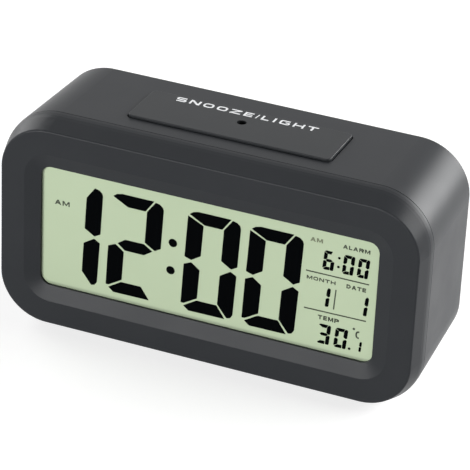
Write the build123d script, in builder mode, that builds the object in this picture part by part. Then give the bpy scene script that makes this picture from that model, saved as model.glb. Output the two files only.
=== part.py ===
from build123d import *
import os
from math import cos, pi, sin, sqrt

# Case, in millimetres: the front faces -Y, the underside lies on z = 0 and x = 0 is the middle
case_width = 135.0
case_height = 71.0
case_depth = 45.4
case_radius = 17.3
case_wall = 2.0
rear_wall = 2.6
rear_inset_side = 1.3
rear_inset_top = 1.7
rear_radius = 16.6
rear_edge_radius = 0.6
underside_flat = 0.05
seam_gap = 0.18
part_gap = 0.3

# Front bezel: a sloped band from the seam to a flat ring, and a second bevel down to the window
bezel_depth = 8.3
front_inset_side = 1.6
front_inset_height = 2.8
front_radius = 15.0
front_edge_radius = 0.6
crease_from_seam = 2.2
crease_share = 0.03
crease_rounding = 1.1
tongue_depth = 2.0
tongue_fit = 0.2
bezel_wall = 3.6
window_from_side = 14.0
window_from_end = 15.25
window_radius = 3.4
bevel_width = 4.8
bevel_depth = 1.6
bevel_radius = 8.6
bevel_edge_radius = 0.5
window_lip = 0.9

# Case screws: a boss on the bezel and a deep well through the shell at each corner
boss_from_side = 9.0
boss_from_end = 9.5
boss_radius = 2.6
well_radius = 3.4
screw_shank_radius = 1.2
screw_fit = 0.1
screw_bite = 5.0
screw_seat = 3.0
screw_head_radius = 2.3
screw_head_height = 1.7

# Display stack behind the window
lcd_margin = 2.5
glass_thickness = 1.1
lcd_ledge = 2.5
guide_thickness = 3.0
guide_inset = 2.0
guide_gap = 0.4
reflector_thickness = 0.25
board_thickness = 1.6
board_from_side = 5.0
board_from_end = 12.5
board_boss_from_side = 7.5
board_boss_from_end = 21.5
board_boss_radius = 2.2
connector_thickness = 1.8
connector_end_gap = 4.0
led_size = 3.0
led_depth = 2.4
led_width = 1.6
led_rise = 10.0
chip_radius = 9.0
chip_height = 2.0
chip_x = -22.0
crystal_radius = 1.5
crystal_length = 8.0
crystal_edge = 0.4
crystal_x = 6.0

# Small screws for the boards
small_shank_radius = 0.9
small_head_radius = 2.0
small_head_height = 1.3
small_bite = 4.0

# Push switches under the snooze bar and the keys
switch_size = 6.0
switch_height = 3.4
plunger_radius = 1.7
plunger_fit = 0.1
plunger_stand = 1.3
plunger_depth = 1.6
plunger_bore_depth = 2.6

# Snooze bar on top
bar_width = 64.0
bar_depth = 20.0
bar_balance = 0.385
bar_stand = 0.85
bar_corner = 1.5
bar_edge = 0.25
bar_wall = 1.6
bar_fit = 0.42
bar_flange = 1.5
bar_flange_thickness = 1.2
bar_stem_radius = 3.0
bar_stem_length = 2.0
sensor_hole_radius = 1.5
sensor_from_bar_front = 11.3
sensor_radius = 1.3
sensor_dome = 0.9
stem_from_bar_front = 6.0
snooze_travel = 0.8
snooze_board_width = 86.0
snooze_board_margin = 2.0
snooze_post_x = 39.0
post_radius = 2.6

# Set keys and alarm slide on the rear
key_names = ["mode", "set", "up", "down"]
key_radius = 3.0
key_fit = 0.25
key_stand = 0.9
key_edge = 0.4
key_flange = 1.0
key_flange_thickness = 1.1
key_pitch = 13.0
key_row_x = -11.5
key_row_from_top = 15.5
key_board_width = 90.0
key_board_height = 14.0
key_post_x = 41.0
slide_x = 27.0
slide_travel = 3.0
slide_knob_width = 4.0
slide_knob_height = 2.8
slide_fit = 0.3
slide_body_width = 10.0
slide_body_height = 5.0
slide_foot_depth = 1.2
slide_flange = 1.2
slide_flange_thickness = 0.9

# Buzzer behind its sound holes
buzzer_from_side = 23.5
buzzer_z = 25.0
buzzer_radius = 8.0
buzzer_thickness = 3.5
buzzer_edge = 0.4
buzzer_fit = 0.2
buzzer_ring_wall = 1.2
buzzer_ring_height = 2.5
sound_hole_radius = 0.8
sound_ring_radius = 3.6
sound_hole_count = 6

# Battery bay for three AAA cells lying side by side, with its door
cell_radius = 5.25
cell_length = 44.5
cell_nub_radius = 1.9
cell_nub_height = 1.0
cell_edge = 0.6
cell_names = ["bottom", "middle", "top"]
cell_pitch = 11.0
bay_clearance = 0.4
bay_wall = 1.5
bay_floor_z = 8.6
contact_thickness = 0.4
contact_gap = 0.1
contact_size = 8.0
contact_tab_width = 3.0
contact_tab_reach = 1.6
tab_fit = 0.15
spring_length = 4.3
spring_base_radius = 3.4
spring_tip_radius = 2.0
spring_wire_radius = 0.3
spring_turns = 3
door_thickness = 1.6
door_lap = 2.4
door_fit = 0.25
door_seat_gap = 0.05
door_corner = 1.2
door_edge_flat = 0.016
door_tab_width = 14.0
door_tab_height = 3.5
scoop_radius = 8.0
scoop_depth = 1.0
hook_x = 16.0
hook_width = 6.0
hook_thickness = 1.0
hook_reach = 2.6
hook_fit = 0.4

# Leads and flat cables inside
lead_radius = 0.6
lead_bend = 4.0
lead_straight = 6.0
lead_side_step = 9.0
lead_drop = 6.0
cable_thickness = 0.5
cable_width = 12.0
cable_bend = 3.0
cable_sag = 4.0
key_cable_x = -6.0
key_cable_from_row = 4.5
snooze_cable_x = 22.0
snooze_cable_from_stem = 1.05
snooze_cable_drop = 6.0

# Depths along Y, from the front face to the back
front_y = -(case_depth + key_stand) / 2
rear_y = front_y + case_depth
seam_y = front_y + bezel_depth
shell_y = seam_y + seam_gap
crease_y = seam_y - crease_from_seam
bevel_y = front_y + bevel_depth
plate_y = bevel_y + window_lip
lcd_rear_y = plate_y + 2 * glass_thickness
guide_rear_y = lcd_rear_y + guide_thickness
board_y = guide_rear_y + reflector_thickness
board_rear_y = board_y + board_thickness
meet_y = seam_y + tongue_depth + part_gap
screw_seat_y = meet_y + screw_seat
wall_y = rear_y - rear_wall
door_y = rear_y - door_thickness - door_seat_gap

# Places tied to the case's outline
boss_x = case_width / 2 - boss_from_side
board_boss_x = case_width / 2 - board_boss_from_side
main_board_width = case_width - 2 * board_from_side
main_board_height = case_height - 2 * board_from_end
key_row_z = case_height - key_row_from_top
buzzer_x = buzzer_from_side - case_width / 2
key_cable_z = key_row_z - key_cable_from_row

# Display sizes, centred on the window
window_z = case_height / 2
window_width = case_width - 2 * window_from_side
window_height = case_height - 2 * window_from_end
lcd_width = window_width + 2 * lcd_margin
lcd_height = window_height + 2 * lcd_margin
guide_width = lcd_width - 2 * guide_inset
guide_height = lcd_height - lcd_ledge - guide_inset
guide_middle_z = window_z + (lcd_ledge - guide_inset) / 2 + guide_gap

# Keys, from the rear wall inwards
key_inner_y = wall_y - part_gap - key_flange_thickness
key_board_y = key_inner_y - plunger_stand - switch_height
key_places = [
    (key_row_x + (index - (len(key_names) - 1) / 2) * key_pitch, key_row_z) for index in range(len(key_names))
]
key_post_places = [(-key_post_x, key_row_z), (key_post_x, key_row_z)]
slide_body_y = wall_y - part_gap - slide_flange_thickness - part_gap

# Battery bay and door
bay_width = cell_length + spring_length + 2 * (contact_thickness + contact_gap)
bay_height = cell_pitch * (len(cell_names) - 1) + 2 * (cell_radius + bay_clearance)
bay_depth = 2 * (cell_radius + bay_clearance)
bay_front_y = door_y - bay_depth - bay_wall
bay_middle_z = bay_floor_z + bay_height / 2
cell_y = door_y - bay_clearance - cell_radius
contact_x = bay_width / 2 - contact_thickness / 2
spring_start = spring_wire_radius + contact_gap
spring_rise = spring_length - 2 * spring_start
door_width = bay_width + 2 * door_lap
door_height = bay_height + 2 * door_lap
door_low_z = bay_floor_z - door_lap
door_top_z = door_low_z + door_height
hinge_y = rear_y - door_thickness / 2
hinge_z = door_low_z + door_thickness / 2
hook_y = wall_y - door_fit
hook_places = [-hook_x, hook_x]
hook_sweep = sqrt((hinge_y - hook_y + hook_thickness) ** 2 + hook_reach**2)
lead_start_y = bay_front_y - contact_tab_reach

# Snooze bar
bar_front_y = shell_y + bar_balance * (rear_y - shell_y - bar_depth)
bar_rear_y = bar_front_y + bar_depth
bar_middle_y = bar_front_y + bar_depth / 2
stem_y = bar_front_y + stem_from_bar_front
sensor_y = bar_front_y + sensor_from_bar_front
snooze_board_front_y = stem_y - switch_size / 2 - snooze_board_margin
snooze_board_rear_y = sensor_y + sensor_radius + snooze_board_margin
snooze_cable_y = stem_y + snooze_cable_from_stem


def cell_z(index):
    """Height of a cell's axis, counted from the lowest cell."""
    return bay_floor_z + bay_clearance + cell_radius + index * cell_pitch


def top_z(y):
    """Height of the shell's sloping top face at depth y."""
    return case_height - rear_inset_top * (y - shell_y) / (rear_y - shell_y)


def under_top_z(y):
    """Height of the top wall's inner face at depth y."""
    return case_height - case_wall - rear_inset_top * (y - shell_y) / (wall_y - shell_y)


def bar_top_z(y):
    """Height of the snooze bar's top face at depth y."""
    return top_z(y) + bar_stand


def bar_ceiling_z(y):
    """Height of the ceiling inside the snooze bar at depth y."""
    return bar_top_z(y) - bar_wall


def flange_top_z(y):
    """Upper face of the snooze bar's flange at depth y, under the top wall."""
    return under_top_z(y) - part_gap


def flange_low_z(y):
    """Lower face of the snooze bar's flange at depth y."""
    return flange_top_z(y) - bar_flange_thickness


stem_low_z = flange_low_z(stem_y) - bar_stem_length
snooze_board_z = stem_low_z - plunger_stand - switch_height
snooze_post_places = [(-snooze_post_x, bar_middle_y), (snooze_post_x, bar_middle_y)]
lead_ends = [(-1, cell_z(0)), (1, cell_z(2))]


def section(y):
    """A plane across the case at depth y: local x is X, local y is Z, and it faces the front."""
    return Plane.XZ.offset(-y)


def case_outline(y, side=0.0, top=0.0, bottom=0.0, radius=case_radius):
    """The case's rounded outline at depth y, drawn in from its full size."""
    with BuildSketch(section(y)) as outline:
        with Locations((0, (case_height - top + bottom) / 2)):
            RectangleRounded(case_width - 2 * side, case_height - top - bottom, radius)
    return outline.sketch


def band_sections():
    """Outlines of the bezel's outer band: a slope from the front face, a rounded crease, then the seam."""

    def drawn_in(y, share):
        radius = case_radius - share * (case_radius - front_radius)
        height_inset = share * front_inset_height
        return case_outline(y, share * front_inset_side, height_inset, height_inset, radius)

    slope = (1 - crease_share) / (crease_y - front_y)
    start_share = crease_share + slope * crease_rounding
    end_share = crease_share * (1 - crease_rounding / crease_from_seam)
    middle_share = (start_share + 2 * crease_share + end_share) / 4
    return [
        drawn_in(front_y, 1),
        drawn_in(crease_y - crease_rounding, start_share),
        drawn_in(crease_y, middle_share),
        drawn_in(crease_y + crease_rounding, end_share),
        drawn_in(seam_y, 0),
    ]


def window_outline(y, border, radius):
    """The display window's outline at depth y, grown by a border."""
    with BuildSketch(section(y)) as outline:
        with Locations((0, window_z)):
            RectangleRounded(window_width + 2 * border, window_height + 2 * border, radius)
    return outline.sketch


def corner_places():
    """The four case screws, seen from the front."""
    return [(x, z) for x in (-boss_x, boss_x) for z in (boss_from_end, case_height - boss_from_end)]


def board_places():
    """The four screws of the main board, seen from the front."""
    rises = (board_boss_from_end, case_height - board_boss_from_end)
    return [(x, z) for x in (-board_boss_x, board_boss_x) for z in rises]


def at_depth(shape, y, tolerance=0.01):
    """The edges that lie at depth y."""
    return shape.edges().filter_by_position(Axis.Y, y - tolerance, y + tolerance)


# The front bezel: outer band, flat ring and bevelled window, with a tongue that enters the shell
with BuildPart() as front_bezel:
    loft(sections=band_sections(), ruled=True)
    fillet(at_depth(front_bezel, front_y), front_edge_radius)
    tongue_inset = case_wall + tongue_fit
    extrude(
        case_outline(seam_y, tongue_inset, tongue_inset, tongue_inset, case_radius - tongue_inset),
        amount=-tongue_depth,
    )
    extrude(
        case_outline(plate_y, bezel_wall, bezel_wall, bezel_wall, case_radius - bezel_wall),
        amount=-(seam_y + tongue_depth - plate_y),
        mode=Mode.SUBTRACT,
    )
    loft(
        sections=[
            window_outline(front_y, bevel_width, bevel_radius),
            window_outline(bevel_y, 0, window_radius),
        ],
        ruled=True,
        mode=Mode.SUBTRACT,
    )
    extrude(window_outline(bevel_y, 0, window_radius), amount=-window_lip, mode=Mode.SUBTRACT)
    reach_x = window_width / 2 + bevel_width
    reach_z = window_height / 2 + bevel_width
    bevel_edges = (
        at_depth(front_bezel, front_y)
        .filter_by_position(Axis.X, -reach_x, reach_x)
        .filter_by_position(Axis.Z, window_z - reach_z, window_z + reach_z)
    )
    fillet(bevel_edges, bevel_edge_radius)
    with BuildSketch(section(plate_y)):
        with Locations(*corner_places()):
            Circle(boss_radius)
    extrude(amount=-(meet_y - plate_y))
    with BuildSketch(section(plate_y)):
        with Locations(*board_places()):
            Circle(board_boss_radius)
    extrude(amount=-(board_y - plate_y))
    with BuildSketch(section(meet_y)):
        with Locations(*corner_places()):
            Circle(screw_shank_radius + screw_fit)
    extrude(amount=screw_bite + screw_fit, mode=Mode.SUBTRACT)
    with BuildSketch(section(board_y)):
        with Locations(*board_places()):
            Circle(small_shank_radius + screw_fit)
    extrude(amount=small_bite + screw_fit, mode=Mode.SUBTRACT)
front_bezel.part.label = "front_bezel"


def door_outline(grow):
    """The battery door's outline on the rear face, grown by a fit, with its finger tab on top."""
    with BuildSketch(section(rear_y)) as outline:
        with Locations((0, bay_middle_z)):
            Rectangle(door_width + 2 * grow, door_height + 2 * grow)
        with Locations((0, door_top_z + grow)):
            Rectangle(door_tab_width + 2 * grow, 2 * door_tab_height)
        fillet(outline.vertices().group_by(Axis.Y)[-2:], door_corner)
    return outline.sketch


def sloped_profile(front, rear, upper, lower):
    """A side profile from front to rear between two sloping lines, given as heights over depth."""
    with BuildSketch(Plane.YZ) as profile:
        with BuildLine():
            Polyline(
                (front, lower(front)),
                (rear, lower(rear)),
                (rear, upper(rear)),
                (front, upper(front)),
                close=True,
            )
        make_face()
    return profile.sketch


def screws(plane, places, heads, shank_radius, shank_length, head_radius, head_height):
    """Screws seated on a plane, with their heads along its normal (1) or against it (-1)."""
    with BuildPart() as group:
        with BuildSketch(plane):
            with Locations(*places):
                Circle(head_radius)
        extrude(amount=heads * head_height)
        with BuildSketch(plane):
            with Locations(*places):
                Circle(shank_radius)
        extrude(amount=-heads * shank_length)
    return group.part


def push_switches(plane, places):
    """Push switch bodies on a board plane, each with a bore for its plunger."""
    with BuildPart() as group:
        with BuildSketch(plane):
            with Locations(*places):
                Rectangle(switch_size, switch_size)
        extrude(amount=switch_height)
        with BuildSketch(plane.offset(switch_height)):
            with Locations(*places):
                Circle(plunger_radius + plunger_fit)
        extrude(amount=-plunger_bore_depth, mode=Mode.SUBTRACT)
    return group.part


# The shell: a tapered sleeve closed at the rear, with screw wells, battery bay, posts and openings
with BuildPart() as body_shell:
    loft(
        sections=[
            case_outline(shell_y, bottom=-underside_flat),
            case_outline(rear_y, rear_inset_side, rear_inset_top, -underside_flat, rear_radius),
        ],
        ruled=True,
    )
    fillet(at_depth(body_shell, rear_y), rear_edge_radius)
    split(bisect_by=Plane.XY)
    loft(
        sections=[
            case_outline(shell_y, case_wall, case_wall, case_wall, case_radius - case_wall),
            case_outline(
                wall_y,
                rear_inset_side + case_wall,
                rear_inset_top + case_wall,
                case_wall,
                rear_radius - case_wall,
            ),
        ],
        ruled=True,
        mode=Mode.SUBTRACT,
    )
    with BuildSketch(section(wall_y)):
        with Locations(*corner_places()):
            Circle(well_radius)
    extrude(amount=wall_y - meet_y)
    with BuildSketch(section(wall_y)):
        with Locations(*key_post_places):
            Circle(post_radius)
    extrude(amount=wall_y - key_board_y)
    with BuildSketch(Plane.XY.offset(snooze_board_z)):
        with Locations(*snooze_post_places):
            Circle(post_radius)
    extrude(amount=top_z(bar_middle_y) - case_wall / 2 - snooze_board_z)
    with BuildSketch(section(wall_y)):
        with Locations((buzzer_x, buzzer_z)):
            Circle(buzzer_radius + buzzer_fit + buzzer_ring_wall)
            Circle(buzzer_radius + buzzer_fit, mode=Mode.SUBTRACT)
    extrude(amount=buzzer_ring_height)
    with BuildSketch(section(wall_y)):
        with Locations((0, bay_middle_z)):
            Rectangle(bay_width + 2 * bay_wall, bay_height + 2 * bay_wall)
    extrude(amount=wall_y - bay_front_y)
    with BuildSketch(section(rear_y)):
        with Locations((0, bay_middle_z)):
            Rectangle(bay_width, bay_height)
    extrude(amount=rear_y - door_y + bay_depth, mode=Mode.SUBTRACT)
    extrude(door_outline(door_fit), amount=rear_y - door_y, mode=Mode.SUBTRACT)
    with Locations((0, rear_y + scoop_radius - scoop_depth, door_top_z + door_tab_height)):
        Sphere(scoop_radius, mode=Mode.SUBTRACT)
    with BuildSketch(section(door_y)):
        notch_low_z = door_low_z - door_fit
        notch_high_z = bay_floor_z + bay_clearance
        with Locations(*[(x, (notch_low_z + notch_high_z) / 2) for x in hook_places]):
            Rectangle(hook_width + 2 * hook_fit, notch_high_z - notch_low_z)
    extrude(amount=door_y - hinge_y + hook_sweep + hook_fit, mode=Mode.SUBTRACT)
    with BuildSketch(section(door_y - bay_depth)):
        with Locations(*[(side * contact_x, z) for side, z in lead_ends]):
            Rectangle(contact_thickness + 2 * tab_fit, contact_tab_width + 2 * tab_fit)
    extrude(amount=bay_wall, mode=Mode.SUBTRACT)
    with BuildSketch(section(rear_y)):
        with Locations(*corner_places()):
            Circle(screw_head_radius + part_gap)
    extrude(amount=rear_y - screw_seat_y, mode=Mode.SUBTRACT)
    with BuildSketch(section(screw_seat_y)):
        with Locations(*corner_places()):
            Circle(screw_shank_radius + screw_fit)
    extrude(amount=screw_seat, mode=Mode.SUBTRACT)
    with BuildSketch(section(key_board_y)):
        with Locations(*key_post_places):
            Circle(small_shank_radius + screw_fit)
    extrude(amount=-(small_bite + screw_fit), mode=Mode.SUBTRACT)
    with BuildSketch(Plane.XY.offset(snooze_board_z)):
        with Locations(*snooze_post_places):
            Circle(small_shank_radius + screw_fit)
    extrude(amount=small_bite + screw_fit, mode=Mode.SUBTRACT)
    with BuildSketch(Plane.XY.offset(case_height)):
        with Locations((0, bar_middle_y)):
            RectangleRounded(bar_width + 2 * bar_fit, bar_depth + 2 * bar_fit, bar_corner + bar_fit)
    extrude(amount=-(2 * case_wall + rear_inset_top), mode=Mode.SUBTRACT)
    with BuildSketch(section(rear_y)):
        with Locations(*key_places):
            Circle(key_radius + key_fit)
        with Locations((slide_x, key_row_z)):
            Rectangle(slide_knob_width + slide_travel + 2 * slide_fit, slide_knob_height + 2 * slide_fit)
        with Locations((buzzer_x, buzzer_z)):
            Circle(sound_hole_radius)
            with PolarLocations(sound_ring_radius, sound_hole_count):
                Circle(sound_hole_radius)
    extrude(amount=rear_wall, mode=Mode.SUBTRACT)
body_shell.part.label = "body_shell"

# The display: two panes of glass, a light guide, a reflector and a contact strip
with BuildPart() as lcd_panel:
    with BuildSketch(section(plate_y)):
        with Locations((0, window_z)):
            Rectangle(lcd_width, lcd_height)
    extrude(amount=-glass_thickness)
    with BuildSketch(section(plate_y + glass_thickness)):
        with Locations((0, window_z + lcd_ledge / 2)):
            Rectangle(lcd_width, lcd_height - lcd_ledge)
    extrude(amount=-glass_thickness)
lcd_panel.part.label = "lcd_panel"

with BuildPart() as light_guide:
    with BuildSketch(section(lcd_rear_y)):
        with Locations((0, guide_middle_z)):
            Rectangle(guide_width, guide_height)
    extrude(amount=-guide_thickness)
light_guide.part.label = "light_guide"

with BuildPart() as reflector_sheet:
    with BuildSketch(section(guide_rear_y)):
        with Locations((0, guide_middle_z)):
            Rectangle(guide_width, guide_height)
    extrude(amount=-reflector_thickness)
reflector_sheet.part.label = "reflector_sheet"

with BuildPart() as lcd_connector:
    with BuildSketch(section(plate_y + glass_thickness)):
        with Locations((0, window_z - lcd_height / 2 + lcd_ledge / 2)):
            Rectangle(lcd_width - 2 * connector_end_gap, connector_thickness)
    extrude(amount=-(board_y - plate_y - glass_thickness))
lcd_connector.part.label = "lcd_connector"

with BuildPart() as backlight_leds:
    with BuildSketch(section(board_y)):
        with Locations((0, guide_middle_z)):
            with GridLocations(guide_width + led_width + 2 * part_gap, 2 * led_rise, 2, 2):
                Rectangle(led_width, led_size)
    extrude(amount=led_depth)
backlight_leds.part.label = "backlight_leds"

# The main board, trimmed to the bezel's inside and its bosses, and what is soldered to it
board_trim = bezel_wall + part_gap
inside_outline = case_outline(board_y, board_trim, board_trim, board_trim, case_radius - board_trim)
with BuildPart() as main_board:
    with BuildSketch(section(board_y)):
        with Locations((0, window_z)):
            Rectangle(main_board_width, main_board_height)
        add(inside_outline, mode=Mode.INTERSECT)
        with Locations(*corner_places()):
            Circle(boss_radius + part_gap, mode=Mode.SUBTRACT)
        with Locations(*board_places()):
            Circle(small_shank_radius + screw_fit, mode=Mode.SUBTRACT)
    extrude(amount=-board_thickness)
main_board.part.label = "main_board"

with BuildPart() as clock_chip:
    with BuildSketch(Plane.XY.offset(window_z)):
        with BuildLine():
            dome = TangentArc(
                (chip_x, board_rear_y + chip_height),
                (chip_x + chip_radius, board_rear_y),
                tangent=(1, 0),
            )
            Polyline(dome @ 1, (chip_x, board_rear_y), dome @ 0)
        make_face()
    revolve(axis=Axis((chip_x, board_rear_y, window_z), (0, 1, 0)))
clock_chip.part.label = "clock_chip"

with BuildPart() as quartz_crystal:
    with BuildSketch(Plane.YZ.offset(crystal_x)):
        with Locations((board_rear_y + crystal_radius, window_z)):
            Circle(crystal_radius)
    extrude(amount=crystal_length)
    fillet(quartz_crystal.edges().filter_by(GeomType.CIRCLE), crystal_edge)
quartz_crystal.part.label = "quartz_crystal"

board_screws = screws(
    section(board_rear_y),
    board_places(),
    -1,
    small_shank_radius,
    small_bite,
    small_head_radius,
    small_head_height,
)
board_screws.label = "board_screws"

case_screws = screws(
    section(screw_seat_y),
    corner_places(),
    -1,
    screw_shank_radius,
    screw_seat + screw_bite,
    screw_head_radius,
    screw_head_height,
)
case_screws.label = "case_screws"

# The snooze bar: a hollow cap with a flange under the top wall and a stem over its push switch
with BuildPart() as snooze_bar:
    extrude(sloped_profile(bar_front_y, bar_rear_y, bar_top_z, flange_top_z), amount=bar_width / 2, both=True)
    fillet(snooze_bar.edges().filter_by(Axis.Z), bar_corner)
    fillet(snooze_bar.faces().sort_by(Axis.Z)[-1].edges(), bar_edge)
    extrude(
        sloped_profile(bar_front_y - bar_flange, bar_rear_y + bar_flange, flange_top_z, flange_low_z),
        amount=bar_width / 2 + bar_flange,
        both=True,
    )
    extrude(
        sloped_profile(bar_front_y + bar_wall, bar_rear_y - bar_wall, bar_ceiling_z, flange_low_z),
        amount=bar_width / 2 - bar_wall,
        both=True,
        mode=Mode.SUBTRACT,
    )
    with BuildSketch(Plane.XY.offset(stem_low_z)):
        with Locations((0, stem_y)):
            Circle(bar_stem_radius)
    extrude(amount=bar_top_z(stem_y) - bar_wall / 2 - stem_low_z)
    with Locations((0, sensor_y, case_height)):
        Hole(sensor_hole_radius, depth=2 * bar_wall + rear_inset_top)
snooze_bar.part.label = "snooze_bar"

with BuildPart() as snooze_plunger:
    with BuildSketch(Plane.XY.offset(stem_low_z)):
        with Locations((0, stem_y)):
            Circle(plunger_radius)
    extrude(amount=-(plunger_stand + plunger_depth))
snooze_plunger.part.label = "snooze_plunger"

snooze_switch = push_switches(Plane.XY.offset(snooze_board_z), [(0, stem_y)])
snooze_switch.label = "snooze_switch"

with BuildPart() as snooze_board:
    with BuildSketch(Plane.XY.offset(snooze_board_z)):
        with Locations((0, (snooze_board_front_y + snooze_board_rear_y) / 2)):
            Rectangle(snooze_board_width, snooze_board_rear_y - snooze_board_front_y)
        with Locations(*snooze_post_places):
            Circle(small_shank_radius + screw_fit, mode=Mode.SUBTRACT)
    extrude(amount=-board_thickness)
snooze_board.part.label = "snooze_board"

with BuildPart() as light_sensor:
    with BuildSketch(Plane.XY.offset(snooze_board_z)):
        with Locations((0, sensor_y)):
            Circle(sensor_radius)
    extrude(amount=bar_ceiling_z(sensor_y) - snooze_travel - part_gap - snooze_board_z)
    fillet(light_sensor.edges().sort_by(Axis.Z)[-1], sensor_radius * sensor_dome)
light_sensor.part.label = "light_sensor"

snooze_screws = screws(
    Plane.XY.offset(snooze_board_z - board_thickness),
    snooze_post_places,
    -1,
    small_shank_radius,
    small_bite,
    small_head_radius,
    small_head_height,
)
snooze_screws.label = "snooze_screws"

# The set keys on the rear, each with the plunger of its push switch
key_parts = []
for key_name, key_place in zip(key_names, key_places):
    with BuildPart() as key_cap:
        with BuildSketch(section(key_inner_y)):
            with Locations(key_place):
                Circle(key_radius + key_flange)
        extrude(amount=-key_flange_thickness)
        with BuildSketch(section(key_inner_y)):
            with Locations(key_place):
                Circle(key_radius)
        extrude(amount=-(rear_y + key_stand - key_inner_y))
        fillet(key_cap.edges().sort_by(Axis.Y)[-1], key_edge)
    key_cap.part.label = f"{key_name}_key"
    with BuildPart() as key_plunger:
        with BuildSketch(section(key_inner_y)):
            with Locations(key_place):
                Circle(plunger_radius)
        extrude(amount=plunger_stand + plunger_depth)
    key_plunger.part.label = f"{key_name}_plunger"
    key_parts += [key_cap.part, key_plunger.part]

key_switches = push_switches(
    Plane(origin=(0, key_board_y, 0), x_dir=(-1, 0, 0), z_dir=(0, 1, 0)), [(-x, z) for x, z in key_places]
)
key_switches.label = "key_switches"

with BuildPart() as key_board:
    with BuildSketch(section(key_board_y)):
        with Locations((0, key_row_z)):
            Rectangle(key_board_width, key_board_height)
        with Locations(*corner_places()):
            Circle(well_radius + part_gap, mode=Mode.SUBTRACT)
        with Locations(*key_post_places):
            Circle(small_shank_radius + screw_fit, mode=Mode.SUBTRACT)
    extrude(amount=board_thickness)
key_board.part.label = "key_board"

key_board_screws = screws(
    section(key_board_y - board_thickness),
    key_post_places,
    1,
    small_shank_radius,
    small_bite,
    small_head_radius,
    small_head_height,
)
key_board_screws.label = "key_board_screws"

# The alarm slide: a switch body on the key board and its knob in a slot of the rear wall
with BuildPart() as alarm_switch:
    with BuildSketch(section(key_board_y)):
        with Locations((slide_x, key_row_z)):
            Rectangle(slide_body_width, slide_body_height)
    extrude(amount=-(slide_body_y - key_board_y))
    with BuildSketch(section(slide_body_y)):
        with Locations((slide_x, key_row_z)):
            Rectangle(slide_knob_width + slide_travel + 2 * slide_fit, slide_knob_height + 2 * slide_fit)
    extrude(amount=slide_foot_depth + part_gap, mode=Mode.SUBTRACT)
alarm_switch.part.label = "alarm_switch"

with BuildPart() as alarm_knob:
    with BuildSketch(section(slide_body_y - slide_foot_depth)):
        with Locations((slide_x - slide_travel / 2, key_row_z)):
            Rectangle(slide_knob_width, slide_knob_height)
    extrude(amount=-(rear_y + key_stand - slide_body_y + slide_foot_depth))
    fillet(alarm_knob.faces().sort_by(Axis.Y)[-1].edges(), key_edge)
    with BuildSketch(section(slide_body_y + part_gap)):
        with Locations((slide_x - slide_travel / 2, key_row_z)):
            Rectangle(slide_knob_width + 2 * slide_flange, slide_knob_height + 2 * slide_flange)
    extrude(amount=-slide_flange_thickness)
alarm_knob.part.label = "alarm_knob"

with BuildPart() as buzzer:
    with BuildSketch(section(wall_y)):
        with Locations((buzzer_x, buzzer_z)):
            Circle(buzzer_radius)
    extrude(amount=buzzer_thickness)
    fillet(buzzer.edges().sort_by(Axis.Y)[0], buzzer_edge)
buzzer.part.label = "buzzer"

# The cells, lying in turn left and right, and the contacts and springs at their ends
cell_parts = []
for index, cell_name in enumerate(cell_names):
    nub_side = 1 if index % 2 == 0 else -1
    nub_x = nub_side * (bay_width / 2 - contact_thickness - contact_gap)
    with BuildPart() as cell:
        with BuildSketch(Plane.YZ.offset(nub_x)):
            with Locations((cell_y, cell_z(index))):
                Circle(cell_nub_radius)
        extrude(amount=-nub_side * 2 * cell_nub_height)
        with BuildSketch(Plane.YZ.offset(nub_x - nub_side * cell_nub_height)):
            with Locations((cell_y, cell_z(index))):
                Circle(cell_radius)
        extrude(amount=-nub_side * (cell_length - cell_nub_height))
        fillet(cell.edges().filter_by(GeomType.CIRCLE).group_by(SortBy.RADIUS)[-1], cell_edge)
    cell.part.label = f"battery_cell_{cell_name}"
    cell_parts.append(cell.part)


def contact(side, low_index, high_index, with_tab):
    """A contact plate at one end of the bay, over one cell or linking two, with or without a solder tab."""
    with BuildPart() as plate:
        with BuildSketch(Plane.YZ.offset(side * bay_width / 2)):
            with Locations((cell_y, (cell_z(low_index) + cell_z(high_index)) / 2)):
                Rectangle(contact_size, contact_size + cell_z(high_index) - cell_z(low_index))
            if with_tab:
                tab_rear_y = cell_y
                tab_front_y = bay_front_y - contact_tab_reach
                with Locations(((tab_rear_y + tab_front_y) / 2, cell_z(low_index))):
                    Rectangle(tab_rear_y - tab_front_y, contact_tab_width)
        extrude(amount=-side * contact_thickness)
    return plate.part


negative_contact = contact(-1, 0, 0, True)
negative_contact.label = "negative_contact"
positive_contact = contact(1, 2, 2, True)
positive_contact.label = "positive_contact"
right_link_contact = contact(1, 0, 1, False)
right_link_contact.label = "right_link_contact"
left_link_contact = contact(-1, 1, 2, False)
left_link_contact.label = "left_link_contact"


def coil_point(turn):
    """A point of the cone-shaped spring along local z, and the direction there, after some turns."""
    angle = 2 * pi * turn
    radius = spring_base_radius - (spring_base_radius - spring_tip_radius) * turn / spring_turns
    shrink = -(spring_base_radius - spring_tip_radius) / spring_turns / (2 * pi)
    rise = spring_rise / spring_turns
    place = Vector(radius * cos(angle), radius * sin(angle), spring_start + rise * turn)
    along = Vector(
        shrink * cos(angle) - radius * sin(angle),
        shrink * sin(angle) + radius * cos(angle),
        rise / (2 * pi),
    )
    return place, along.normalized()


def biarc(start, start_along, end, end_along):
    """Two tangent arcs from one point and direction to the next."""
    span = end - start
    both = start_along + end_along
    turn = 2 * (1 - start_along.dot(end_along))
    reach = (sqrt(span.dot(both) ** 2 + turn * span.dot(span)) - span.dot(both)) / turn
    middle = (start + end + (start_along - end_along) * reach) * 0.5
    TangentArc(start, middle, tangent=start_along)
    TangentArc(middle, end, tangent=span - both * reach)


with BuildPart() as coil_spring:
    with BuildLine() as coil:
        for quarter in range(4 * spring_turns):
            biarc(*coil_point(quarter / 4), *coil_point((quarter + 1) / 4))
    with BuildSketch(Plane(origin=coil.line @ 0, z_dir=coil.line % 0)):
        Circle(spring_wire_radius)
    sweep()

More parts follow.
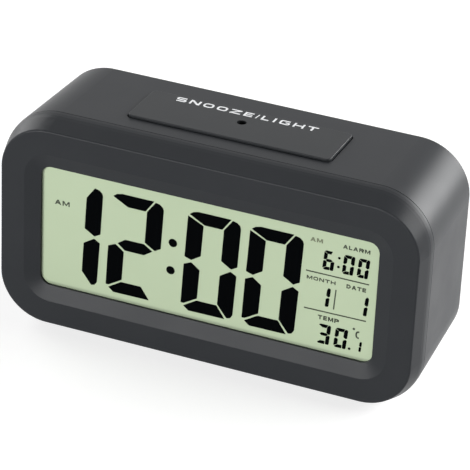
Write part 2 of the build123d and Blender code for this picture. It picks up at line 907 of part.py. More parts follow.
with BuildPart() as battery_springs:
    for index in range(len(cell_names)):
        spring_side = -1 if index % 2 == 0 else 1
        seat_x = spring_side * (bay_width / 2 - contact_thickness)
        seat = Plane(origin=(seat_x, cell_y, cell_z(index)), x_dir=(0, 1, 0), z_dir=(-spring_side, 0, 0))
        add(seat.location * coil_spring.part)
battery_springs.part.label = "battery_springs"

samples = 40
wire_points = [coil_point(step / samples)[0] for step in range(samples * spring_turns + 1)]
wire_gap = min(
    (wire_points[i] - wire_points[j]).length
    for i in range(len(wire_points))
    for j in range(i + samples // 2, len(wire_points))
)
print("least gap of the spring to itself:", round(wire_gap - 2 * spring_wire_radius, 3))

# The battery door: a plate with a rounded lower edge that turns on two hooks behind the rear wall
with BuildPart() as battery_door:
    extrude(door_outline(0), amount=door_thickness)
    fillet(battery_door.edges().filter_by(Axis.X).group_by(Axis.Z)[0], door_thickness / 2 - door_edge_flat)
    for x in hook_places:
        with BuildSketch(Plane.YZ.offset(x)):
            with BuildLine():
                Polyline(
                    (hinge_y, hinge_z + hook_thickness / 2),
                    (hook_y - hook_thickness, hinge_z + hook_thickness / 2),
                    (hook_y - hook_thickness, hinge_z - hook_reach),
                    (hook_y, hinge_z - hook_reach),
                    (hook_y, hinge_z - hook_thickness / 2),
                    (hinge_y, hinge_z - hook_thickness / 2),
                    close=True,
                )
            make_face()
        extrude(amount=hook_width / 2, both=True)
battery_door.part.label = "battery_door"

# Battery leads from the solder tabs to the main board
lead_parts = []
for lead_name, (side, z) in zip(["negative", "positive"], lead_ends):
    toward_middle = 1 if z < window_z else -1
    landing = (side * (contact_x + lead_side_step), z + toward_middle * lead_drop)
    with BuildPart() as lead:
        with BuildLine() as route:
            FilletPolyline(
                (side * contact_x, lead_start_y, z),
                (side * contact_x, lead_start_y - lead_straight, z),
                (landing[0], board_rear_y + lead_straight, landing[1]),
                (landing[0], board_rear_y, landing[1]),
                radius=lead_bend,
            )
        with BuildSketch(Plane(origin=route.line @ 0, z_dir=route.line % 0)):
            Circle(lead_radius)
        sweep()
    lead.part.label = f"{lead_name}_lead"
    lead_parts.append(lead.part)

# Flat cables from the main board to the two small boards
with BuildPart() as key_cable:
    with BuildSketch(Plane.YZ.offset(key_cable_x)):
        with BuildLine():
            key_cable_front_y = board_rear_y
            key_cable_rear_y = key_board_y - board_thickness
            run = (key_cable_rear_y - key_cable_front_y) / 4
            FilletPolyline(
                (key_cable_front_y, key_cable_z),
                (key_cable_front_y + run, key_cable_z),
                (key_cable_front_y + 2 * run, key_cable_z - cable_sag),
                (key_cable_rear_y - run, key_cable_z),
                (key_cable_rear_y, key_cable_z),
                radius=cable_bend,
            )
        trace(line_width=cable_thickness)
    extrude(amount=cable_width / 2, both=True)
key_cable.part.label = "key_cable"

with BuildPart() as snooze_cable:
    with BuildSketch(Plane.YZ.offset(snooze_cable_x)):
        with BuildLine():
            snooze_cable_top_z = snooze_board_z - board_thickness
            snooze_cable_low_z = snooze_cable_top_z - snooze_cable_drop
            FilletPolyline(
                (snooze_cable_y, snooze_cable_top_z),
                (snooze_cable_y, snooze_cable_low_z),
                (board_rear_y, snooze_cable_low_z),
                radius=cable_bend,
            )
        trace(line_width=cable_thickness)
    extrude(amount=cable_width / 2, both=True)
snooze_cable.part.label = "snooze_cable"

os.makedirs("parts", exist_ok=True)
for piece in [
    front_bezel.part,
    body_shell.part,
    lcd_panel.part,
    light_guide.part,
    reflector_sheet.part,
    lcd_connector.part,
    backlight_leds.part,
    main_board.part,
    clock_chip.part,
    quartz_crystal.part,
    board_screws,
    case_screws,
    snooze_bar.part,
    snooze_plunger.part,
    snooze_switch,
    snooze_board.part,
    light_sensor.part,
    snooze_screws,
    *key_parts,
    key_switches,
    key_board.part,
    key_board_screws,
    alarm_switch.part,
    alarm_knob.part,
    buzzer.part,
    *cell_parts,
    negative_contact,
    positive_contact,
    right_link_contact,
    left_link_contact,
    battery_springs.part,
    battery_door.part,
    *lead_parts,
    key_cable.part,
    snooze_cable.part,
]:
    export_step(piece, f"parts/{piece.label}.step")
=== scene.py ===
import math

import bmesh
import bpy
from mathutils import Matrix, Vector


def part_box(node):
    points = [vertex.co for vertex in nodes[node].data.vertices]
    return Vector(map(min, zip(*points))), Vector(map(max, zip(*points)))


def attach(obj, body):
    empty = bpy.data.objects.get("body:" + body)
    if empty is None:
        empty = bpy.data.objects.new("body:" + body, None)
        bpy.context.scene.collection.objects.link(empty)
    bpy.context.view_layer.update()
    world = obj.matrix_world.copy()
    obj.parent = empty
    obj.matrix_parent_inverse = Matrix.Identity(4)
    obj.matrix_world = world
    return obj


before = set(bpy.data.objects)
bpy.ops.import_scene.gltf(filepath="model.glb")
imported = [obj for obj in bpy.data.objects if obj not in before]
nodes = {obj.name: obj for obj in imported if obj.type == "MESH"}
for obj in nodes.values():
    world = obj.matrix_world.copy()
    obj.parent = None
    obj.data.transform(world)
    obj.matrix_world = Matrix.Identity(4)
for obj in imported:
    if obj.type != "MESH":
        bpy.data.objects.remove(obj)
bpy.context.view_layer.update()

MM = 0.001

# Finishes: the span that holds most of a noise's values, how far the roughness drifts, the grain's depth
NOISE_LOW, NOISE_HIGH = 0.3, 0.7
ROUGHNESS_DRIFT = 0.06
GRAIN_DEPTH = 0.03 * MM


def srgb(red, green, blue):
    """A colour given in 0-255 steps, as linear values."""
    steps = [value / 255 for value in (red, green, blue)]
    linear = [v / 12.92 if v <= 0.04045 else ((v + 0.055) / 1.055) ** 2.4 for v in steps]
    return (*linear, 1.0)


def link(tree, start, out, end, into):
    tree.links.new(start.outputs[out], end.inputs[into])


def surface(
    material, low, high, patch, roughness, grain=0.0, grain_size=1.0, metallic=0.0, specular=0.5
):
    """Fills a material: a colour that drifts between two tones, a drifting roughness and a fine
    moulded grain. patch is the size of the drift and grain_size that of the grain, in millimetres."""
    material.use_nodes = True
    tree = material.node_tree
    tree.nodes.clear()
    output = tree.nodes.new("ShaderNodeOutputMaterial")
    shader = tree.nodes.new("ShaderNodeBsdfPrincipled")
    place = tree.nodes.new("ShaderNodeTexCoord")
    drift = tree.nodes.new("ShaderNodeTexNoise")
    drift.inputs["Scale"].default_value = 1 / (patch * MM)
    drift.inputs["Detail"].default_value = 3.0
    tone = tree.nodes.new("ShaderNodeMix")
    tone.data_type = "RGBA"
    tone.inputs[6].default_value = low
    tone.inputs[7].default_value = high
    polish = tree.nodes.new("ShaderNodeMapRange")
    polish.inputs["From Min"].default_value = NOISE_LOW
    polish.inputs["From Max"].default_value = NOISE_HIGH
    polish.inputs["To Min"].default_value = roughness * (1 - ROUGHNESS_DRIFT)
    polish.inputs["To Max"].default_value = min(1.0, roughness * (1 + ROUGHNESS_DRIFT))
    link(tree, place, "Object", drift, "Vector")
    link(tree, drift, "Fac", tone, 0)
    link(tree, drift, "Fac", polish, "Value")
    tree.links.new(tone.outputs[2], shader.inputs["Base Color"])
    link(tree, polish, "Result", shader, "Roughness")
    shader.inputs["Metallic"].default_value = metallic
    shader.inputs["Specular IOR Level"].default_value = specular
    if grain:
        speckle = tree.nodes.new("ShaderNodeTexNoise")
        speckle.inputs["Scale"].default_value = 1 / (grain_size * MM)
        speckle.inputs["Detail"].default_value = 2.0
        bump = tree.nodes.new("ShaderNodeBump")
        bump.inputs["Strength"].default_value = grain
        bump.inputs["Distance"].default_value = GRAIN_DEPTH
        link(tree, place, "Object", speckle, "Vector")
        link(tree, speckle, "Fac", bump, "Height")
        link(tree, bump, "Normal", shader, "Normal")
    link(tree, shader, "BSDF", output, "Surface")
    return material


def shade_edges(material, node, inset, fades):
    """Paints shade into a panel's colour where the window's edge would shade it. inset is how far the panel
    runs on behind that edge, and fades gives, for each edge, its axis, whether it is the high end, the
    fade's width and its darkest share. Lengths are in millimetres."""
    tree = material.node_tree
    shader = next(part for part in tree.nodes if part.type == "BSDF_PRINCIPLED")
    tone = shader.inputs["Base Color"].links[0].from_socket
    low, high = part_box(node)
    place = tree.nodes.new("ShaderNodeTexCoord")
    parts = tree.nodes.new("ShaderNodeSeparateXYZ")
    link(tree, place, "Generated", parts, "Vector")
    for axis, at_high, width, darkest in fades:
        length = high["XYZ".index(axis)] - low["XYZ".index(axis)]
        start, end = inset * MM / length, (inset + width) * MM / length
        fade = tree.nodes.new("ShaderNodeMapRange")
        fade.interpolation_type = "SMOOTHSTEP"
        fade.inputs["From Min"].default_value = 1 - start if at_high else start
        fade.inputs["From Max"].default_value = 1 - end if at_high else end
        fade.inputs["To Min"].default_value = darkest
        fade.inputs["To Max"].default_value = 1.0
        link(tree, parts, axis, fade, "Value")
        shaded = tree.nodes.new("ShaderNodeVectorMath")
        shaded.operation = "SCALE"
        tree.links.new(tone, shaded.inputs[0])
        link(tree, fade, "Result", shaded, "Scale")
        tone = shaded.outputs["Vector"]
    tree.links.new(tone, shader.inputs["Base Color"])


def finish(name, *args, **options):
    """The material of one of the record's slots, or a new one."""
    return surface(bpy.data.materials.get(name) or bpy.data.materials.new(name), *args, **options)


finish(
    "case_plastic", srgb(40, 42, 45), srgb(43, 45, 48), 14, 0.38,
    grain=0.2, grain_size=0.35, specular=0.15,
)
finish("bar_plastic", srgb(42, 44, 46), srgb(45, 47, 49), 12, 0.37, grain=0.2, grain_size=0.3, specular=0.15)
finish("key_plastic", srgb(36, 38, 40), srgb(40, 42, 44), 5, 0.36, grain=0.2, grain_size=0.3)
lcd_glass = finish("lcd_glass", srgb(183, 199, 167), srgb(191, 206, 175), 45, 0.32, specular=0.3)
# Painted shade: the LCD's colour darkens where the bezel's edge falls across it, widest along the bottom and
# darkest at the left
LCD_BEHIND_BEZEL = 2.5
LCD_PAINTED_SHADE = (
    ("Z", False, 1.4, 0.6),
    ("X", False, 1.0, 0.5),
    ("X", True, 0.6, 0.8),
    ("Z", True, 0.5, 0.85),
)
shade_edges(lcd_glass, "lcd_panel", LCD_BEHIND_BEZEL, LCD_PAINTED_SHADE)
finish("light_guide", srgb(222, 230, 226), srgb(236, 242, 238), 20, 0.2)
finish("white_sheet", srgb(226, 227, 224), srgb(238, 238, 236), 9, 0.6)
finish("connector_rubber", srgb(150, 96, 104), srgb(166, 110, 116), 3, 0.7)
finish("led_package", srgb(226, 214, 140), srgb(242, 234, 176), 2, 0.35)
finish("circuit_board", srgb(34, 92, 52), srgb(44, 108, 62), 6, 0.45, grain=0.2, grain_size=0.6)
finish("chip_epoxy", srgb(22, 22, 23), srgb(30, 30, 31), 3, 0.35)
finish("plated_steel", srgb(168, 170, 172), srgb(192, 193, 194), 2, 0.3, metallic=1.0)
finish("screw_steel", srgb(128, 130, 132), srgb(158, 159, 160), 1.5, 0.38, metallic=1.0)
finish("switch_plastic", srgb(40, 40, 42), srgb(48, 48, 50), 2, 0.5)
finish("plunger_plastic", srgb(186, 150, 92), srgb(200, 166, 110), 2, 0.5)
finish("sensor_resin", srgb(24, 20, 22), srgb(36, 28, 30), 1, 0.15)
finish("cell_jacket", srgb(70, 92, 124), srgb(84, 108, 142), 8, 0.35)
finish("lead_black", srgb(24, 24, 25), srgb(32, 32, 33), 2, 0.5)
finish("lead_red", srgb(150, 28, 26), srgb(170, 40, 36), 2, 0.5)
finish("flat_cable", srgb(176, 178, 180), srgb(196, 198, 200), 2, 0.5)
segment_film = finish("segment_film", srgb(1, 2, 3), srgb(4, 5, 6), 6, 0.6, specular=0.01)
label_film = finish("label_film", srgb(58, 65, 53), srgb(68, 75, 62), 3, 0.5, specular=0.2)
faint_film = finish("faint_film", srgb(112, 119, 96), srgb(122, 129, 106), 3, 0.5, specular=0.2)
white_ink = finish("white_ink", srgb(236, 238, 240), srgb(246, 247, 248), 3, 0.5)
grey_ink = finish("grey_ink", srgb(176, 178, 180), srgb(188, 190, 192), 3, 0.55)
# Painted shade: a dark steel for the flat crosses that stand in for the screws' recess hollows
recess_shade_steel = finish("recess_shade_steel", srgb(34, 34, 36), srgb(46, 46, 48), 1, 0.5, metallic=0.6)


# Planes that flat marks lie on: local x and y run along the mark, and local z points out of the surface
def front_plane(y):
    return Matrix(((1, 0, 0, 0), (0, 0, -1, y), (0, 1, 0, 0), (0, 0, 0, 1)))


def rear_plane(y):
    return Matrix(((-1, 0, 0, 0), (0, 0, 1, y), (0, 1, 0, 0), (0, 0, 0, 1)))


def upper_plane(node):
    """The plane of a node's widest upper face, with local y towards the rear."""
    nearly_up = 0.98
    upward = [polygon for polygon in nodes[node].data.polygons if polygon.normal.z > nearly_up]
    widest = max(upward, key=lambda polygon: polygon.area)
    middle, up = widest.center.copy(), widest.normal.copy()
    back = Vector((0, up.z, -up.y)).normalized()
    height = middle.z + (middle.y * up.y) / up.z
    matrix = Matrix.Identity(4)
    matrix.col[0].xyz = (1, 0, 0)
    matrix.col[1].xyz = back
    matrix.col[2].xyz = up
    matrix.col[3].xyz = (0, 0, height)
    return matrix


lcd_plane = front_plane(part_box("lcd_panel")[0].y)
bar_plane = upper_plane("snooze_bar")


def rounded(points, radius, steps=4, closed=True):
    """An outline or an open line with its corners rounded, less where an edge is short."""
    out = []
    count = len(points)
    for i in range(count):
        here = Vector(points[i])
        if not closed and i in (0, count - 1):
            out.append(here)
            continue
        to_last = Vector(points[i - 1]) - here
        to_next = Vector(points[(i + 1) % count]) - here
        reach = min(radius, 0.45 * to_last.length, 0.45 * to_next.length)
        start = here + to_last.normalized() * reach
        end = here + to_next.normalized() * reach
        for step in range(steps + 1):
            t = step / steps
            out.append((1 - t) ** 2 * start + 2 * t * (1 - t) * here + t**2 * end)
    return out


def ring(x, z, radius, steps=20):
    """A round outline."""
    turns = [2 * math.pi * i / steps for i in range(steps)]
    return [Vector((x + radius * math.cos(turn), z + radius * math.sin(turn))) for turn in turns]


# The letters' widths, as shares of one unit, and the width of all the others
LETTER_WIDTHS = {
    "I": 0.42, "/": 0.26, "L": 0.88, "E": 1.0, "F": 0.95, "A": 1.25, "M": 1.4, "W": 1.5, "T": 1.15,
}
OTHER_WIDTH = 1.2


def glyph(letter, w, h, t):
    """The flat outlines and the bent lines of a plain block letter w wide and h high, drawn t thick."""
    c, m = t / 2, h / 2
    left, right, low, high = c, w - c, c, h - c
    soft = 0.45 * (m - c)

    def bowl(base):
        q = 0.3 * (h - base)
        b = base + c
        return [(left, b), (right - q, b), (right, b + q), (right, high - q), (right - q, high), (left, high)]

    if letter == "A":
        k, a = 1.15 * t, 0.55 * t
        run = (w / 2 - a) / h
        bar_low, bar_high = 0.2 * h, 0.2 * h + 0.9 * t
        x_low, x_high = k + bar_low * run, k + bar_high * run
        legs = [(0, 0), (w / 2 - a, h), (w / 2 + a, h), (w, 0), (w - k, 0)]
        legs += [(w / 2, (w / 2 - k) / run), (k, 0)]
        bar = [(x_low, bar_low), (w - x_low, bar_low), (w - x_high, bar_high), (x_high, bar_high)]
        return [legs, bar], []
    if letter in "MW":
        k = 1.3 * t
        dip = 0.35 * h
        fall = (h - dip) / (w / 2 - k)
        thick = t * math.sqrt(1 + fall**2)
        shoulder = h + (k - t) * fall - thick
        outline = [(0, 0), (0, h), (k, h), (w / 2, dip), (w - k, h), (w, h), (w, 0), (w - t, 0)]
        outline += [(w - t, shoulder), (w / 2, max(0, dip - thick)), (t, shoulder), (t, 0)]
        return [outline if letter == "M" else [(x, h - y) for x, y in outline]], []
    if letter == "N":
        k, d = 1.25 * t, 0.3 * h
        outline = [(0, 0), (0, h), (k, h), (w - t, d), (w - t, h), (w, h)]
        return [outline + [(w, 0), (w - k, 0), (t, h - d), (t, 0)]], []
    if letter == "Z":
        k = 1.45 * t
        half = [(0, h), (w, h), (w, h - t), (k, t), (w, t)]
        return [half + [(w - x, h - y) for x, y in half]], []
    if letter in "EF":
        tip = (0.92 if letter == "E" else 0.85) * w
        outline = [(0, 0), (0, h), (w, h), (w, h - t), (t, h - t), (t, m + c), (tip, m + c), (tip, m - c)]
        foot = [(t, t), (w, t), (w, 0)] if letter == "E" else [(t, 0)]
        return [outline + [(t, m - c)] + foot], []
    if letter == "L":
        return [[(0, 0), (0, h), (t, h), (t, t), (w, t), (w, 0)]], []
    if letter == "I":
        return [[(w / 2 - c, 0), (w / 2 - c, h), (w / 2 + c, h), (w / 2 + c, 0)]], []
    if letter == "/":
        return [[(0, 0), (0.55 * t, 0), (w, h), (w - 0.55 * t, h)]], []
    if letter == "H":
        half = [(0, 0), (0, h), (t, h), (t, m + c), (w - t, m + c), (w - t, h)]
        return [half + [(w - x, h - y) for x, y in half]], []
    if letter == "T":
        outline = [(0, h), (w, h), (w, h - t), (w / 2 + c, h - t), (w / 2 + c, 0), (w / 2 - c, 0)]
        return [outline + [(w / 2 - c, h - t), (0, h - t)]], []
    if letter == "O":
        return [], [(rounded([(left, low), (right, low), (right, high), (left, high)], 0.42 * (h - t)), True)]
    if letter == "D":
        return [], [(bowl(0), True)]
    if letter in "PR":
        base = 0.36 * h
        plates = [[(0, 0), (0, base), (t, base), (t, 0)]]
        if letter == "R":
            plates.append([(0.45 * w, base), (0.45 * w + 1.3 * t, base), (w, 0), (w - 1.3 * t, 0)])
        return plates, [(bowl(base), True)]
    if letter == "U":
        return [], [(rounded([(left, h), (left, low), (right, low), (right, h)], soft, closed=False), False)]
    if letter == "C":
        bend = 0.42 * w
        line = [(right, high), (bend, high), (left, 0.7 * h), (left, 0.3 * h), (bend, low), (right, low)]
    elif letter == "G":
        line = [(right, high), (left, high), (left, low), (right, low), (right, m), (0.55 * w, m)]
    else:
        line = [(right, high), (left, high), (left, m), (right, m), (right, low), (left, low)]
    return [], [(rounded(line, soft, closed=False), False)]


class Marks:
    """Thin flat marks gathered into one piece, in millimetres on a plane."""

    def __init__(self, plane, rise=0.04, sink=0.02):
        self.plane = plane
        self.rise = rise
        self.sink = sink
        self.mesh = bmesh.new()

    def world(self, x, y, z):
        return self.plane @ Vector((x * MM, y * MM, z * MM))

    def plate(self, outline):
        area = sum(a[0] * b[1] - b[0] * a[1] for a, b in zip(outline, outline[1:] + outline[:1]))
        if area < 0:
            outline = outline[::-1]
        low = [self.mesh.verts.new(self.world(p[0], p[1], -self.sink)) for p in outline]
        high = [self.mesh.verts.new(self.world(p[0], p[1], self.rise)) for p in outline]
        self.mesh.faces.new(high)
        self.mesh.faces.new(low[::-1])
        for i in range(len(outline)):
            j = (i + 1) % len(outline)
            self.mesh.faces.new((low[i], low[j], high[j], high[i]))

    def ribbon(self, points, width, closed=False):
        """A line of even width with mitred corners."""
        count = len(points)
        rows = []
        for i in range(count):
            here = Vector(points[i])
            before = here - Vector(points[i - 1]) if closed or i > 0 else None
            after = Vector(points[(i + 1) % count]) - here if closed or i < count - 1 else None
            first = (before or after).normalized()
            second = (after or before).normalized()
            normal = Vector((-first.y, first.x))
            mitre = (normal + Vector((-second.y, second.x))).normalized()
            side = mitre * width / 2 / max(0.3, mitre.dot(normal))
            edges = [here + side, here - side]
            rows.append(
                [self.mesh.verts.new(self.world(p.x, p.y, self.rise)) for p in edges]
                + [self.mesh.verts.new(self.world(p.x, p.y, -self.sink)) for p in edges[::-1]]
            )
        for i in range(count if closed else count - 1):
            here, there = rows[i], rows[(i + 1) % count]
            for k in range(4):
                self.mesh.faces.new((here[k], here[(k + 1) % 4], there[(k + 1) % 4], there[k]))
        if not closed:
            self.mesh.faces.new(rows[0])
            self.mesh.faces.new(rows[-1][::-1])

    def words(self, text, x0, x1, y0, y1, stroke, gap=0.36):
        """Plain block lettering drawn to fill a box."""
        shares = [LETTER_WIDTHS.get(letter, OTHER_WIDTH) for letter in text]
        unit = (x1 - x0) / (sum(shares) + gap * (len(text) - 1))
        x = x0
        for letter, share in zip(text, shares):
            plates, lines = glyph(letter, share * unit, y1 - y0, stroke)
            for outline in plates:
                self.plate([(x + a, y0 + b) for a, b in outline])
            for points, closed in lines:
                self.ribbon([(x + a, y0 + b) for a, b in points], stroke, closed)
            x += (share + gap) * unit

    def piece(self, name, material, body):
        bmesh.ops.recalc_face_normals(self.mesh, faces=self.mesh.faces)
        data = bpy.data.meshes.new(name)
        self.mesh.to_mesh(data)
        self.mesh.free()
        data.materials.append(material)
        made = bpy.data.objects.new(name, data)
        bpy.context.scene.collection.objects.link(made)
        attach(made, body)


# Seven-segment digits: one outline per segment on a digit 16.9 wide and 34.1 high, with its middle at 0
DIGIT_KNOTS_X = (0.0, 3.2, 8.45)
DIGIT_KNOTS_Y = (0.0, 1.88, 13.02, 17.05)
SEGMENTS = {
    "a": ((-7.9, 15.7), (-6.8, 16.62), (-5.1, 17.05), (5.25, 17.03), (2.7, 13.02), (-2.93, 13.02)),
    "b": (
        (5.72, 16.78), (7.15, 16.4), (8.13, 15.55), (8.45, 14.6),
        (8.45, 1.59), (6.55, 0.43), (3.2, 2.46), (3.2, 13.0),
    ),
    "c": (
        (6.45, -0.36), (8.43, -1.49), (8.35, -15.0), (7.67, -16.19),
        (6.5, -16.5), (3.18, -12.45), (3.17, -2.6),
    ),
    "d": ((-7.5, -15.65), (-3.42, -12.96), (3.0, -12.93), (5.95, -16.95), (-5.77, -17.05)),
    "e": ((-8.45, -1.42), (-6.13, -0.34), (-3.25, -2.43), (-3.28, -12.2), (-7.4, -14.83), (-8.4, -14.85)),
    "f": ((-8.35, 15.15), (-3.2, 12.72), (-3.28, 2.4), (-6.17, 0.43), (-8.4, 1.13)),
    "g": ((-5.46, 0.12), (-3.08, 1.88), (3.03, 1.88), (5.9, 0.02), (3.22, -1.88), (-3.03, -1.85)),
}
# The small digits' right-hand strokes end squarer
SMALL_SEGMENTS = {
    **SEGMENTS,
    "a": ((-7.9, 15.7), (-6.8, 16.62), (-5.1, 17.05), (4.3, 17.03), (2.5, 13.02), (-2.93, 13.02)),
    "b": (
        (5.0, 16.95), (7.15, 16.6), (8.13, 15.75), (8.45, 14.6),
        (8.45, 1.59), (6.55, 0.43), (3.2, 2.46), (3.2, 14.0),
    ),
    "c": (
        (6.45, -0.36), (8.43, -1.49), (8.35, -15.6), (7.67, -16.8),
        (4.2, -17.0), (3.18, -15.8), (3.17, -2.6),
    ),
    "d": ((-7.48, -15.75), (-3.42, -13.06), (2.4, -12.95), (2.6, -16.95), (-5.77, -17.05)),
}
LIT = {"0": "abcdef", "1": "bc", "2": "abged", "3": "abgcd", "6": "afgedc"}


def remap(value, knots, sizes):
    """Moves a value from the drawn digit's knots to another digit's, the same on both sides of 0."""
    size = abs(value)
    for i in range(len(knots) - 1):
        if size <= knots[i + 1] or i == len(knots) - 2:
            share = (size - knots[i]) / (knots[i + 1] - knots[i])
            return math.copysign(sizes[i] + share * (sizes[i + 1] - sizes[i]), value)


def digit(
    marks, figure, x, z, half_width, half_height, upright, level, middle, lean, radius, shapes=SEGMENTS
):
    """Draws a lit digit: upright and level are the widths of its strokes, middle that of its cross stroke."""
    sizes_x = (0.0, half_width - upright, half_width)
    sizes_y = (0.0, middle / 2, half_height - level, half_height)
    for segment in LIT[figure]:
        outline = []
        for across, up in shapes[segment]:
            height = remap(up, DIGIT_KNOTS_Y, sizes_y)
            outline.append((x + remap(across, DIGIT_KNOTS_X, sizes_x) + lean * height, z + height))
        marks.plate(rounded(outline, radius))


# The lit time
TIME_Z = 34.82
COLON_RADIUS = 1.38
large = dict(
    half_width=8.45, half_height=17.05, upright=5.25, level=4.03, middle=3.76, lean=0.045, radius=0.2
)
marks = Marks(lcd_plane)
for figure, x in (("1", -42.71), ("2", -23.11), ("0", 1.41), ("0", 21.02)):
    digit(marks, figure, x, TIME_Z, **large)
for x, z in ((-10.78, 39.47), (-11.23, 30.06)):
    marks.plate(ring(x, z, COLON_RADIUS))
marks.piece("lcd_time_segments", segment_film, "case")

# The lit alarm, date and temperature
DOT_RADIUS = 0.42
small = dict(
    half_width=1.72, half_height=3.2, upright=1.14, level=1.05, middle=0.96, lean=0.075, radius=0.12,
    shapes=SMALL_SEGMENTS,
)
warm = {**small, "half_width": 1.96, "half_height": 3.36, "upright": 1.2, "level": 1.12, "middle": 1.04}
tiny = {**small, "half_width": 1.2, "half_height": 1.7, "upright": 0.76, "level": 0.5, "middle": 0.3}
marks = Marks(lcd_plane)
for figure, x, z, style in (
    ("6", 38.07, 46.03, small),
    ("0", 44.12, 46.03, small),
    ("0", 48.66, 46.03, small),
    ("1", 37.33, 33.75, small),
    ("1", 49.15, 33.7, small),
    ("3", 37.95, 21.13, warm),
    ("0", 43.27, 21.13, warm),
    ("1", 48.6, 19.84, tiny),
):
    digit(marks, figure, x, z, **style)
for x, z in ((41.17, 47.65), (41.07, 44.68), (46.1, 18.37)):
    marks.plate(ring(x, z, DOT_RADIUS))
marks.piece("lcd_small_segments", segment_film, "case")

# Labels and dividing lines printed on the panel
PRINT_RISE = 0.03
LABEL_STROKE = 0.27  # as a share of a label's height
DEGREE_RADIUS = 0.4
marks = Marks(lcd_plane, rise=PRINT_RISE)
for text, x0, x1, z0, z1 in (
    ("AM", -49.3, -44.4, 43.2, 44.8),
    ("ALARM", 42.05, 50.4, 51.15, 52.45),
    ("MONTH", 31.6, 40.55, 38.45, 39.65),
    ("DATE", 43.9, 49.95, 38.35, 39.7),
    ("TEMP", 35.8, 42.35, 25.85, 27.3),
):
    marks.words(text, x0, x1, z0, z1, LABEL_STROKE * (z1 - z0), gap=0.24)
marks.words("C", 47.7, 49.1, 22.4, 24.9, stroke=0.5)
marks.plate(ring(47.11, 25.37, DEGREE_RADIUS))
for start, end, width in (
    ((31.22, 41.16), (50.76, 41.2), 0.42),
    ((31.31, 28.6), (50.6, 28.85), 0.42),
    ((40.82, 36.97), (40.45, 30.23), 0.4),
):
    marks.ribbon([start, end], width)
marks.piece("lcd_labels", label_film, "case")
marks = Marks(lcd_plane, rise=PRINT_RISE)
marks.words("AM", 32.0, 35.9, 51.15, 52.5, stroke=0.42, gap=0.2)
marks.piece("lcd_faint_label", faint_film, "case")

# The legend printed on the snooze bar
marks = Marks(bar_plane, rise=PRINT_RISE)
marks.words("SNOOZE/LIGHT", -23.5, 21.7, 7.9, 10.75, stroke=0.62, gap=0.38)
marks.piece("snooze_legend", white_ink, "snooze_button")

# The legends beside the rear keys and the alarm slide
REAR_STROKE = 0.26
HALF_LETTER = 0.9  # half of the width that each letter of a key's word takes
marks = Marks(rear_plane(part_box("body_shell")[1].y), rise=PRINT_RISE)
for key in ("mode", "set", "up", "down"):
    low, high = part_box(f"{key}_key")
    middle = -(low.x + high.x) / 2 / MM
    top = high.z / MM
    half = HALF_LETTER * len(key)
    marks.words(key.upper(), middle - half, middle + half, top + 0.6, top + 2.2, REAR_STROKE)
low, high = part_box("alarm_switch")
middle = -(low.x + high.x) / 2 / MM
top = high.z / MM
row = (low.z + high.z) / 2 / MM
for text, x0, x1, z0, z1 in (
    ("ALARM", -4.2, 4.2, top + 2.6, top + 4.0),
    ("ON", -8.6, -5.4, row - 0.7, row + 0.7),
    ("OFF", 5.4, 9.8, row - 0.7, row + 0.7),
):
    marks.words(text, middle + x0, middle + x1, z0, z1, REAR_STROKE)
marks.piece("rear_legends", grey_ink, "case")

# The case screws' cross recesses, drawn as flat crosses whose dark steel is painted shade for the hollow
HEAD_RADIUS = 2.3
arm, slot = 1.35, 0.28  # halves of the cross's length and of its width
cross = [
    (-arm, -slot), (-slot, -slot), (-slot, -arm), (slot, -arm), (slot, -slot), (arm, -slot),
    (arm, slot), (slot, slot), (slot, arm), (-slot, arm), (-slot, slot), (-arm, slot),
]
low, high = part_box("case_screws")
marks = Marks(rear_plane(high.y), rise=0.02)
for x in (low.x / MM + HEAD_RADIUS, high.x / MM - HEAD_RADIUS):
    for z in (low.z / MM + HEAD_RADIUS, high.z / MM - HEAD_RADIUS):
        marks.plate([(a - x, b + z) for a, b in cross])
marks.piece("screw_recesses", recess_shade_steel, "case")

# The pull mark moulded on the battery door
ARROW_DROP, ARROW_X, ARROW_Z = 9.0, 3.0, 2.2  # from the door's top to its middle, then its half sizes
RIB_DROP, RIB_PITCH, RIB_X, RIB_Z = 4.0, 1.6, 5.0, 0.3
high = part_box("battery_door")[1]
marks = Marks(rear_plane(high.y), rise=0.15)
arrow = high.z / MM - ARROW_DROP
tip = (0.0, arrow - ARROW_Z)
marks.plate(rounded([(-ARROW_X, arrow + ARROW_Z), (ARROW_X, arrow + ARROW_Z), tip], 0.4))
for step in range(3):
    rib = arrow - RIB_DROP - RIB_PITCH * step
    corners = [(-RIB_X, -RIB_Z), (RIB_X, -RIB_Z), (RIB_X, RIB_Z), (-RIB_X, RIB_Z)]
    marks.plate(rounded([(x, rib + z) for x, z in corners], 0.25))
marks.piece("door_pull_mark", bpy.data.materials["case_plastic"], "battery_cover")

# Camera, as the photograph was taken; the offsets are in pixels
azimuth, elevation, roll = (math.radians(v) for v in (20.989, 29.475, 2.712))
target = Vector((0, -0.482, 34.0)) * MM
distance = 857.04 * MM
focal_pixels, image_pixels = 2851.7, 470
offset_right, offset_up = 3.148, 1.938
level = math.cos(elevation)
back = Vector((math.sin(azimuth) * level, -math.cos(azimuth) * level, math.sin(elevation)))
right = Vector((math.cos(azimuth), math.sin(azimuth), 0))
up = back.cross(right)
tilted_right = right * math.cos(roll) + up * math.sin(roll)
tilted_up = up * math.cos(roll) - right * math.sin(roll)
spot = target + back * distance
aim = target + (tilted_right * offset_right + tilted_up * offset_up) * distance / focal_pixels
axis = (spot - aim).normalized()
across = tilted_up.cross(axis).normalized()
camera_data = bpy.data.cameras.new("camera")
camera_data.sensor_width = 36.0
camera_data.lens = focal_pixels / image_pixels * camera_data.sensor_width
camera_data.clip_start = 0.01
camera_data.clip_end = 50.0
camera = bpy.data.objects.new("camera", camera_data)
turn = Matrix.Identity(4)
turn.col[0].xyz = across
turn.col[1].xyz = axis.cross(across)
turn.col[2].xyz = axis
turn.col[3].xyz = spot
camera.matrix_world = turn
bpy.context.scene.collection.objects.link(camera)
bpy.context.scene.camera = camera


LAMP_AIM = Vector((0, 0, 0.035))


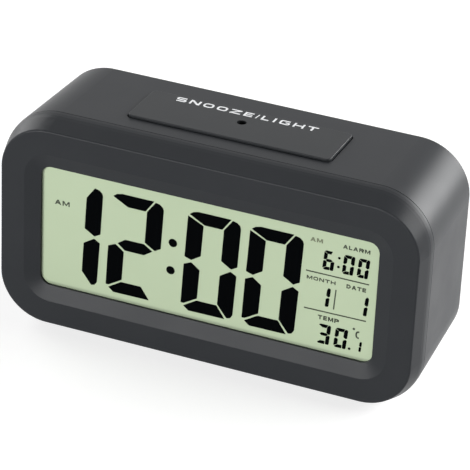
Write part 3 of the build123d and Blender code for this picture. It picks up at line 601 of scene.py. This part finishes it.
def softbox(name, place, width, height, watts):
    """A large soft lamp aimed at the clock."""
    data = bpy.data.lights.new(name, "AREA")
    data.shape = "RECTANGLE"
    data.size = width
    data.size_y = height
    data.energy = watts
    lamp = bpy.data.objects.new(name, data)
    lamp.location = place
    lamp.rotation_mode = "QUATERNION"
    lamp.rotation_quaternion = (LAMP_AIM - Vector(place)).to_track_quat("-Z", "Y")
    bpy.context.scene.collection.objects.link(lamp)


softbox("rear_right_light", (0.8, 1.3, 0.38), 0.85, 0.8, 18.0)
softbox("left_light", (-1.2, 0.5, 0.65), 0.7, 1.2, 11.0)
softbox("front_light", (-0.5, -1.45, 0.24), 1.4, 0.42, 22.5)
softbox("right_light", (0.95, 0.34, 0.6), 0.7, 0.8, 13.5)


def background_rays(tree):
    """One for a ray that shows the background: from the camera, off a gloss or through glass."""
    path = tree.nodes.new("ShaderNodeLightPath")
    total = path.outputs["Is Camera Ray"]
    for ray in ("Is Glossy Ray", "Is Transmission Ray"):
        join = tree.nodes.new("ShaderNodeMath")
        join.operation = "ADD"
        join.use_clamp = True
        tree.links.new(total, join.inputs[0])
        tree.links.new(path.outputs[ray], join.inputs[1])
        total = join.outputs["Value"]
    return total


# A pale floor that keeps the shadow, and a white surround. Each has a strength for the light that
# it throws on the clock and one for the background that it shows
FLOOR_HALF, FLOOR_DROP = 4, 0.0002
FLOOR_GREY = 0.45
FLOOR_LIGHT, FLOOR_SHOWN = 0.02, 0.75
ROOM_LIGHT, ROOM_SHOWN = 0.04, 1.0
corners = [(-1, -1), (1, -1), (1, 1), (-1, 1)]
floor_mesh = bpy.data.meshes.new("floor")
floor_mesh.from_pydata([(x * FLOOR_HALF, y * FLOOR_HALF, 0) for x, y in corners], [], [(0, 1, 2, 3)])
floor = bpy.data.objects.new("floor", floor_mesh)
floor.location = (0, 0, -FLOOR_DROP)
bpy.context.scene.collection.objects.link(floor)
paper = bpy.data.materials.new("floor_paper")
paper.use_nodes = True
tree = paper.node_tree
tree.nodes.clear()
output = tree.nodes.new("ShaderNodeOutputMaterial")
matt = tree.nodes.new("ShaderNodeBsdfDiffuse")
matt.inputs["Color"].default_value = (FLOOR_GREY, FLOOR_GREY, FLOOR_GREY, 1)
glow = tree.nodes.new("ShaderNodeEmission")
lift = tree.nodes.new("ShaderNodeMapRange")
lift.inputs["To Min"].default_value = FLOOR_LIGHT
lift.inputs["To Max"].default_value = FLOOR_SHOWN
tree.links.new(background_rays(tree), lift.inputs["Value"])
link(tree, lift, "Result", glow, "Strength")
both = tree.nodes.new("ShaderNodeAddShader")
link(tree, matt, "BSDF", both, 0)
link(tree, glow, "Emission", both, 1)
link(tree, both, "Shader", output, "Surface")
floor_mesh.materials.append(paper)

world = bpy.data.worlds.new("studio")
bpy.context.scene.world = world
world.use_nodes = True
tree = world.node_tree
tree.nodes.clear()
output = tree.nodes.new("ShaderNodeOutputWorld")
pick = tree.nodes.new("ShaderNodeMixShader")
tree.links.new(background_rays(tree), pick.inputs[0])
for place, strength in ((1, ROOM_LIGHT), (2, ROOM_SHOWN)):
    shade = tree.nodes.new("ShaderNodeBackground")
    shade.inputs["Color"].default_value = (1, 1, 1, 1)
    shade.inputs["Strength"].default_value = strength
    link(tree, shade, "Background", pick, place)
link(tree, pick, "Shader", output, "Surface")
bpy.context.scene.view_settings.view_transform = "Standard"
